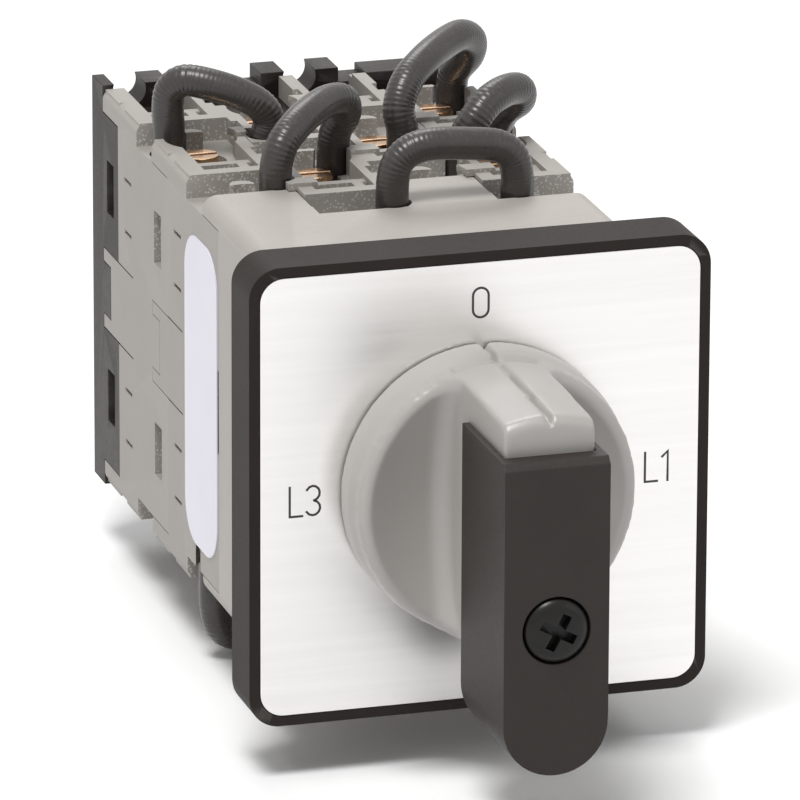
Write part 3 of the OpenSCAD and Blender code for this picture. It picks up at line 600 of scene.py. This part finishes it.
knobForm = {
    "voxel": 0.21 * mm,
    "footGap": 0.3 * mm,
    "rimRadius": 12.5 * mm,
    "rimHeight": 5.9 * mm,
    "bandHeight": 4.4 * mm,
    "lowest": 3.2 * mm,
    "hollowDepth": 2.4 * mm,
    "hollowPower": 2.5,
    "ridgeHalf": 4.3 * mm,
    "ridgeMargin": 0.12 * mm,
    "filletRadius": 2.5 * mm,
    "facing": -0.35,
    "smoothPasses": 5,
    "grooveHalf": 0.42 * mm,
    "grooveDepth": 0.42 * mm,
    "grooveFrom": 7 * mm,
    "grooveFacing": 0.3,
}


def hollowHeight(x, z, skirtRadius):
    # Height over the knob's foot of the rim, the hollow and the fillet up the ridge
    reach = math.hypot(x, z)
    rise = knobForm["rimHeight"] - knobForm["bandHeight"]
    if reach > knobForm["rimRadius"]:
        out = min(1.0, (reach - knobForm["rimRadius"]) / (skirtRadius - knobForm["rimRadius"]))
        height = knobForm["bandHeight"] + rise * math.sqrt(1 - out * out)
    else:
        inward = 1 - (reach / knobForm["rimRadius"]) ** knobForm["hollowPower"]
        height = knobForm["rimHeight"] - knobForm["hollowDepth"] * inward
    beside = (abs(x) - knobForm["ridgeHalf"]) / knobForm["filletRadius"]
    beside = min(1.0, max(0.0, beside))
    return height + knobForm["filletRadius"] * (1 - math.sqrt(1 - (1 - beside) ** 2))


def remeshKnob(piece):
    remesh = piece.modifiers.new("skin", "REMESH")
    remesh.mode = "VOXEL"
    remesh.voxel_size = knobForm["voxel"]
    applyModifiers(piece)


def pressHollows(piece):
    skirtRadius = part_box("knob")[1].x
    foot = plateFront - knobForm["footGap"]
    for vertex in piece.data.vertices:
        x, y, z = vertex.co
        height = foot - y
        if abs(x) < knobForm["ridgeHalf"] + knobForm["ridgeMargin"] or height < knobForm["lowest"]:
            continue
        wanted = hollowHeight(x, z, skirtRadius)
        if height > wanted or vertex.normal.y < knobForm["facing"]:
            vertex.co.y = foot - wanted


def cutGroove(piece):
    for vertex in piece.data.vertices:
        aside = abs(vertex.co.x) / knobForm["grooveHalf"]
        onCrown = vertex.co.z > knobForm["grooveFrom"] and vertex.normal.z > knobForm["grooveFacing"]
        if aside < 1 and onCrown:
            vertex.co.z -= knobForm["grooveDepth"] * (1 - aside)


def addKnob():
    piece = looseCopy("knob", "knobMoulding")
    remeshKnob(piece)
    pressHollows(piece)
    remeshKnob(piece)
    soften = piece.modifiers.new("soften", "SMOOTH")
    soften.iterations = knobForm["smoothPasses"]
    applyModifiers(piece)
    cutGroove(piece)
    activate(piece)
    bpy.ops.object.shade_smooth()
    seat(piece, "knob")


addKnob()
print("stage: knob made")

# Jumper wires, whose routes are the ones that the frame was made with

coreZ = 16.05
footZ = 17.6
wire = {
    "radius": 1.6,
    "sides": 24,
    "step": 0.09,
    "wrinklePitch": 0.42,
    "wrinkleDepth": 0.03,
    "wrinkleSway": 0.8,
    "evenShare": 0.8,
    "insideShare": 0.2,
    "bendSpan": 10,
    "bendGain": 3.2,
    "smoothUpTo": math.radians(50),
    "startSide": (0.3, 0.9, 0.2),
}
core = {
    "radius": 0.63,
    "sides": 12,
    "step": 0.3,
    "stop": 1.9,
    "bendAt": 0.3,
    "cornerShare": 0.1,
}
routes = {
    1: [(-2.6, 29, coreZ), (-2.4, 25, coreZ), (-1.6, 21.4, coreZ), (-1.2, 19.4, 17.6), (-1.2, 19.2, 20),
        (-1.1, 19.2, 22.4), (-0.6, 19.2, 24.1), (0.8, 19.2, 25.2), (3, 19.2, 25.6), (7, 19.2, 25.3),
        (9.4, 19.2, 24.9), (10.8, 19.2, 23.8), (11.3, 19.2, 22), (11.3, 19.2, 20), (11.4, 19.4, 17.6),
        (11.6, 21.4, coreZ), (12.1, 25, coreZ), (12.2, 28.4, coreZ)],
    2: [(-10.3, 27.9, footZ), (-10.3, 27.9, 20.4), (-10.2, 27.9, 22.2), (-9.5, 28.3, 24),
        (-8.1, 29.5, 25.1), (-6.1, 31.4, 25.9), (-3.6, 33.7, 26.3), (-1.5, 35.3, 25.9),
        (-0.9, 36.3, 24.2), (-1.7, 37.1, 21.9), (-1.9, 37.25, footZ)],
    3: [(-15.7, 47.2, footZ), (-15.7, 47.2, 20.8), (-15.8, 47.1, 23), (-15.6, 46.8, 24.8),
        (-14.5, 46, 25.9), (-12.4, 45, 25.7), (-9.6, 44, 24.8), (-7.5, 43.4, 23.6), (-6.6, 43.4, 22),
        (-6.9, 43.5, 20), (-6.7, 43.8, 17.8), (-6.2, 45.4, coreZ), (-5.9, 48.4, coreZ)],
    4: [(6.3, 40.9, footZ), (6.3, 40.9, 20.6), (6, 41.2, 22.8), (7.1, 42.4, 25), (9.6, 44.8, 26.4),
        (12.6, 47.8, 27.1), (15, 50, 27.2), (16.6, 51.8, 26.1), (16.9, 53.4, 24.2), (16, 55.6, 21.5),
        (15.9, 55.9, footZ)],
    5: [(9.7, 32.7, footZ), (9.7, 32.6, 20.4), (10, 31.9, 22.3), (10.7, 31.3, 24), (12.3, 32, 25.5),
        (14.6, 33.7, 26), (16.4, 35.2, 25.6), (17, 36.8, 24.1), (16.4, 39.6, 22.2), (15.8, 41, 20),
        (15.7, 41.4, 17.8), (15.5, 43.2, coreZ), (15, 48.4, coreZ)],
    6: [(-16.4, 28, -footZ), (-16.4, 28, -20.6), (-16.3, 28, -22.6), (-15.6, 28.4, -24.6),
        (-13.8, 29.4, -25.8), (-11.6, 30.6, -26), (-9.4, 31.8, -25.2), (-7.9, 32.6, -23.4),
        (-7.6, 32.6, -21), (-7.6, 32.6, -footZ)],
}
screwsOf = {
    1: ((-4.45, 34.7), (13.35, 34.7)),
    2: ((-13.35, 25.4), (-4.45, 34.7)),
    3: ((-13.35, 44.0), (-4.45, 53.3)),
    4: ((4.45, 44.0), (13.35, 53.3)),
    5: ((13.35, 34.7), (13.35, 53.3)),
    6: ((-13.35, 25.4), (-4.45, 34.7)),
}
def splinePoint(a, b, c, d, t):
    return 0.5 * (2 * b + (c - a) * t + (2 * a - 5 * b + 4 * c - d) * t * t
                  + (3 * b - a - 3 * c + d) * t * t * t)


def sampledRoute(points, step):
    corners = [Vector(p) for p in points]
    corners = [2 * corners[0] - corners[1]] + corners + [2 * corners[-1] - corners[-2]]
    sampled = []
    for i in range(1, len(corners) - 2):
        count = max(2, int((corners[i + 1] - corners[i]).length / step))
        for k in range(count):
            sampled.append(splinePoint(*corners[i - 1:i + 3], k / count))
    sampled.append(corners[-2])
    return sampled


def sweptTube(name, centres, radii, sides):
    # Rings carried along the line without twist
    work = bmesh.new()
    side = None
    rings = []
    for i, centre in enumerate(centres):
        ahead = centres[min(i + 1, len(centres) - 1)] - centres[max(i - 1, 0)]
        ahead.normalize()
        if side is None:
            side = ahead.cross(Vector(wire["startSide"])).normalized()
        side = (side - side.dot(ahead) * ahead).normalized()
        other = ahead.cross(side)
        ring = []
        for k in range(sides):
            turn = 2 * math.pi * k / sides
            outward = math.cos(turn) * side + math.sin(turn) * other
            ring.append(work.verts.new((centre + outward * radii(i, outward)) * mm))
        rings.append(ring)
    for first, second in zip(rings, rings[1:]):
        for k in range(sides):
            work.faces.new((first[k], first[(k + 1) % sides], second[(k + 1) % sides], second[k]))
    work.faces.new(list(reversed(rings[0])))
    work.faces.new(rings[-1])
    bmesh.ops.recalc_face_normals(work, faces=work.faces)
    mesh = bpy.data.meshes.new(name)
    work.to_mesh(mesh)
    work.free()
    piece = newPiece(name, mesh)
    activate(piece)
    bpy.ops.object.shade_smooth_by_angle(angle=wire["smoothUpTo"])
    return piece


def distancesAlong(centres):
    along = [0.0]
    for first, second in zip(centres, centres[1:]):
        along.append(along[-1] + (second - first).length)
    return along


def bendsAlong(centres):
    bends = []
    span = wire["bendSpan"]
    for i, centre in enumerate(centres):
        if span <= i < len(centres) - span:
            turnIn = (centre - centres[i - span]).normalized()
            turnOut = (centres[i + span] - centre).normalized()
            bends.append(turnOut - turnIn)
        else:
            bends.append(Vector())
    return bends


def addCores(number):
    # Bare strands from the skin's ends to the screws' shanks
    points = routes[number]
    for index, (start, screw) in enumerate(zip((points[0], points[-1]), screwsOf[number])):
        side = 1 if start[2] > 0 else -1
        foot = Vector(start)
        level = Vector((start[0], start[1], side * coreZ))
        away = Vector((start[0] - screw[0], start[1] - screw[1], 0)).normalized()
        stop = Vector((screw[0], screw[1], level.z)) + away * core["stop"]
        bend = level + (stop - level) * core["bendAt"]
        corner = level * (1 - core["cornerShare"]) + foot * core["cornerShare"]
        line = [foot, bend, stop] if abs(start[2]) <= coreZ else [foot, corner, bend, stop]
        name = "jumperCore%d_%d" % (number, index + 1)
        strand = sweptTube(name, sampledRoute(line, core["step"]), coreRadius, core["sides"])
        strand.data.materials.append(finishes["copper"])
        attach(strand, "base")


def coreRadius(i, outward):
    return core["radius"]


def addJumper(number):
    centres = sampledRoute(routes[number], wire["step"])
    along = distancesAlong(centres)
    bends = bendsAlong(centres)
    draw = random.Random(number)
    phase = draw.uniform(0, 6)

    def radius(i, outward):
        # The skin puckers inside a bend and stretches in fine ribs outside it
        bend = bends[i]
        sharp = min(1.0, bend.length * wire["bendGain"])
        inner = outward.dot(bend.normalized()) if bend.length > 1e-6 else 0.0
        sway = wire["wrinkleSway"] * math.sin(along[i])
        ripple = math.sin(2 * math.pi * along[i] / wire["wrinklePitch"] + phase + sway)
        depth = wire["wrinkleDepth"] * sharp * (wire["evenShare"] - wire["insideShare"] * inner)
        flatten = -wire["wrinkleDepth"] * sharp
        return wire["radius"] + depth * ripple + flatten

    piece = sweptTube("jumperWire%d" % number, centres, radius, wire["sides"])
    seat(piece, "jumper_%d" % number)
    addCores(number)


for number in routes:
    addJumper(number)
print("stage: jumpers made")

# Printed marks on the plate: numbers and phase marks of the dial, as thin strokes

dial = {
    "stroke": 0.22 * mm,
    "height": 3.1 * mm,
    "width": 1.75 * mm,
    "film": 0.02 * mm,
    "footLength": 1.2 * mm,
    "flagWidth": 0.55 * mm,
    "flagDrop": 0.5 * mm,
    "twoRadius": 0.62 * mm,
    "threeCentre": 0.55 * mm,
    "threeUpper": 0.66 * mm,
    "threeLower": 0.7 * mm,
    "figureGap": 1.7 * mm,
    "lastFigureGap": 1.8 * mm,
    "steepest": 0.5,
}
dialHalf = dial["height"] / 2 - dial["stroke"] / 2


ink = {
    "colors": ("2b2827", "3a3634"),
    "roughness": 0.5,
    "grain": 5200.0,
    "cloud": 900.0,
    "relief": (0.1, 0.02 * mm),
}


def inkMaterial():
    surface = Surface("dialInk", ink["roughness"])
    texture = surface.group("grain", Grain_Scale=ink["grain"], Cloud_Scale=ink["cloud"])
    color = surface.mix(*map(hexColor, ink["colors"]), texture.outputs["Cloud"])
    return surface.finish(color, None, surface.bump(texture.outputs["Height"], *ink["relief"]))


finishes["ink"] = inkMaterial()


def strokePiece(name, paths):
    # Each path is a list of points in the plate's plane, drawn with a flat pen
    work = bmesh.new()
    half = dial["stroke"] / 2
    for path, closed in paths:
        count = len(path)
        outer, inner = [], []
        for i, (x, z) in enumerate(path):
            before = path[(i - 1) % count] if closed or i > 0 else None
            after = path[(i + 1) % count] if closed or i < count - 1 else None
            a = Vector((x, z)) - Vector(before) if before else Vector(after) - Vector((x, z))
            b = Vector(after) - Vector((x, z)) if after else a
            mean = (a.normalized() + b.normalized()).normalized()
            normal = Vector((-mean.y, mean.x))
            reach = half / max(dial["steepest"], mean.dot(b.normalized()))
            slip = Vector((0, 0))
            if not closed and before is None:
                slip = -mean * half
            if not closed and after is None:
                slip = mean * half
            for side, row in ((1, outer), (-1, inner)):
                p = Vector((x, z)) + normal * side * reach + slip
                row.append(work.verts.new((p.x, plateFront - dial["film"], p.y)))
        last = count if closed else count - 1
        for i in range(last):
            j = (i + 1) % count
            work.faces.new((outer[i], outer[j], inner[j], inner[i]))
    bmesh.ops.recalc_face_normals(work, faces=work.faces)
    made = bmesh.ops.extrude_face_region(work, geom=list(work.faces))
    moved = [v for v in made["geom"] if isinstance(v, bmesh.types.BMVert)]
    bmesh.ops.translate(work, verts=moved, vec=(0, dial["film"], 0))
    bmesh.ops.recalc_face_normals(work, faces=work.faces)
    mesh = bpy.data.meshes.new(name)
    work.to_mesh(mesh)
    work.free()
    piece = newPiece(name, mesh)
    piece.data.materials.append(finishes["ink"])
    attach(piece, "base")


def arcPath(cx, cz, rx, rz, start, end, count):
    return [(cx + rx * math.cos(math.radians(start + (end - start) * k / count)),
             cz + rz * math.sin(math.radians(start + (end - start) * k / count))) for k in range(count + 1)]


def zeroPaths(cx, cz):
    w = dial["width"] / 2 - dial["stroke"] / 2
    rise = dialHalf - w
    path = arcPath(cx, cz + rise, w, w, 0, 180, 10) + arcPath(cx, cz - rise, w, w, 180, 360, 10)
    return [(path, True)]


def letterL(left, cz):
    top, low = cz + dialHalf, cz - dialHalf
    return [([(left, top), (left, low), (left + dial["footLength"], low)], False)]


def figureOne(left, cz):
    top, stem = cz + dialHalf, left + dial["flagWidth"]
    return [([(left, top - dial["flagDrop"]), (stem, top), (stem, cz - dialHalf)], False)]


def figureTwo(left, cz):
    r, low = dial["twoRadius"], cz - dialHalf
    path = arcPath(left + r, cz + dialHalf - r, r, r, 170, -35, 8) + [(left, low), (left + 2 * r, low)]
    return [(path, False)]


def figureThree(left, cz):
    r, centre = dialHalf / 2, left + dial["threeCentre"]
    upper = arcPath(centre, cz + r, dial["threeUpper"], r, 150, -80, 8)
    lower = arcPath(centre, cz - r, dial["threeLower"], r, 80, -150, 8)
    return [(upper + lower, False)]


phaseMarks = {
    "dialPhaseOne": (16.2 * mm, -0.1 * mm, figureOne, dial["figureGap"]),
    "dialPhaseThree": (-18.6 * mm, -0.4 * mm, figureThree, dial["figureGap"]),
    "dialPhaseTwo": (-1.5 * mm, -19.3 * mm, figureTwo, dial["lastFigureGap"]),
}
strokePiece("dialZero", zeroPaths(-0.1 * mm, 17.55 * mm))
for markName, (left, middle, figure, gap) in phaseMarks.items():
    strokePiece(markName, letterL(left, middle) + figure(left + gap, middle))
print("stage: marks made")

# Studio: pale floor, white surroundings, soft lamps

studio = {
    "floorSize": 6,
    "floorDrop": 0.2 * mm,
    "floorColor": (0.97, 0.97, 0.97, 1),
    "floorRoughness": 0.9,
    "floorGloss": 0.1,
    "aim": (0, 0.02, 0),
    "worldFill": 0.4,
    "lamps": [
        ("keyLamp", (-0.32, -0.32, 1.22), 0.42, 12.5),
        ("fillLamp", (0.75, -0.6, 0.45), 0.5, 0.5),
        ("rearLamp", (0.1, 0.8, 0.9), 0.5, 3.5),
    ],
}


def addWhiteSurroundings(tree, fill):
    path = tree.nodes.new("ShaderNodeLightPath")
    seen = tree.nodes.new("ShaderNodeMath")
    seen.operation = "MAXIMUM"
    tree.links.new(path.outputs["Is Camera Ray"], seen.inputs[0])
    tree.links.new(path.outputs["Is Glossy Ray"], seen.inputs[1])
    through = tree.nodes.new("ShaderNodeMath")
    through.operation = "MAXIMUM"
    tree.links.new(seen.outputs[0], through.inputs[0])
    tree.links.new(path.outputs["Is Transmission Ray"], through.inputs[1])
    level = tree.nodes.new("ShaderNodeMapRange")
    level.inputs["To Min"].default_value = fill
    level.inputs["To Max"].default_value = 1.0
    tree.links.new(through.outputs[0], level.inputs["Value"])
    background = tree.nodes["Background"]
    background.inputs["Color"].default_value = (1, 1, 1, 1)
    tree.links.new(level.outputs["Result"], background.inputs["Strength"])


def addFloor():
    low = cadBox[0].z - studio["floorDrop"]
    bpy.ops.mesh.primitive_plane_add(size=studio["floorSize"], location=(0, 0, low))
    floor = bpy.context.object
    floor.name = "studioFloor"
    material = bpy.data.materials.new("floorWhite")
    material.use_nodes = True
    shader = material.node_tree.nodes["Principled BSDF"]
    shader.inputs["Base Color"].default_value = studio["floorColor"]
    shader.inputs["Roughness"].default_value = studio["floorRoughness"]
    shader.inputs["Specular IOR Level"].default_value = studio["floorGloss"]
    floor.data.materials.append(material)


def addLamp(name, place, size, power):
    bpy.ops.object.light_add(type="AREA", location=place)
    lamp = bpy.context.object
    lamp.name = name
    lamp.data.size = size
    lamp.data.energy = power
    toward = Vector(studio["aim"]) - Vector(place)
    lamp.rotation_euler = toward.to_track_quat("-Z", "Y").to_euler()


def addStudio():
    world = bpy.data.worlds.new("studioWorld")
    world.use_nodes = True
    scene.world = world
    addWhiteSurroundings(world.node_tree, studio["worldFill"])
    addFloor()
    for lampRow in studio["lamps"]:
        addLamp(*lampRow)
    scene.view_settings.view_transform = "Standard"


addStudio()
print("stage: studio made")
